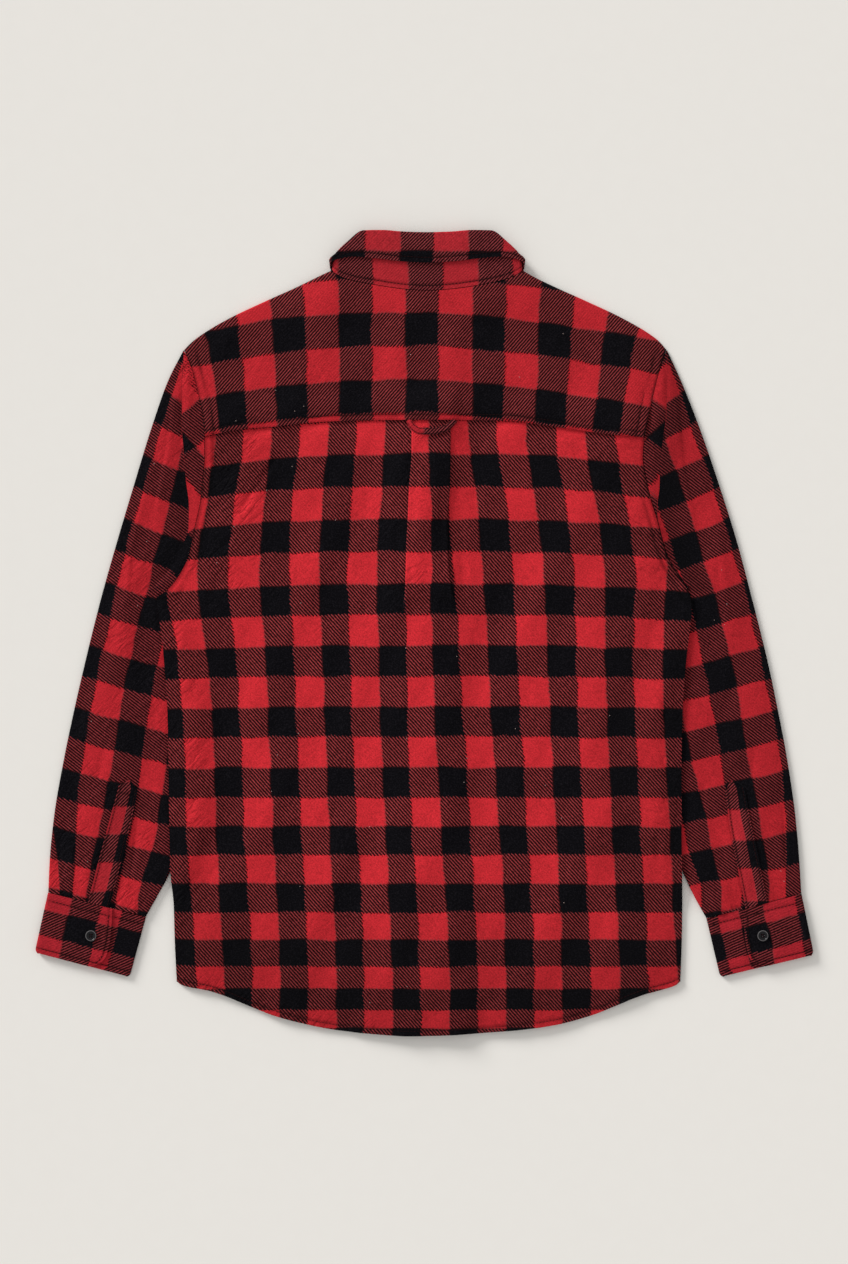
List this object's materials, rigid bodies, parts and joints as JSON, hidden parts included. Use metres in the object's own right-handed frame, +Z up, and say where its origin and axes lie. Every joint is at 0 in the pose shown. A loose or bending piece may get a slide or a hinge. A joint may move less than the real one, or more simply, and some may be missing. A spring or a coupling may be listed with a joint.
{
  "type": "flannel shirt",
  "caption": "Long-sleeved checked button shirt laid flat with its back up, collar folded, sleeves beside the body, with a yoke, a box pleat and a hanger loop.",
  "frame": {"origin": "centre of the underside of the shirt's box, on the surface that it lies on", "axes": "+Z up from the surface, through the layers; +Y from the hem to the collar, the shirt's longest side; +X to the right as seen from above, towards the wearer's right sleeve"},
  "size_m": [0.7758, 0.8042, 0.013],
  "materials": {
    "flannel_body": "brushed twill cotton, red and black check",
    "flannel_yoke": "brushed twill cotton, red and black check",
    "flannel_sleeves": "brushed twill cotton, red and black check",
    "flannel_trims": "brushed twill cotton over interlining, red and black check",
    "black_button": "polished black resin"
  },
  "bodies": {
    "root": {"back_panel": "flannel_body", "yoke": "flannel_yoke", "front_left": "flannel_body", "front_right": "flannel_body", "placket_left": "flannel_trims", "placket_right": "flannel_trims", "collar_stand": "flannel_trims", "collar_fall": "flannel_trims", "locker_loop": "flannel_trims", "sleeve_left": "flannel_sleeves", "sleeve_right": "flannel_sleeves", "sleeve_placket_left": "flannel_trims", "sleeve_placket_right": "flannel_trims", "cuff_left": "flannel_trims", "cuff_right": "flannel_trims", "cuff_button_left": "black_button", "cuff_button_right": "black_button", "front_button_1": "black_button", "front_button_2": "black_button", "front_button_3": "black_button", "front_button_4": "black_button", "front_button_5": "black_button", "front_button_6": "black_button", "front_button_7": "black_button", "front_button_8": "black_button"}
  },
  "joints": []
}
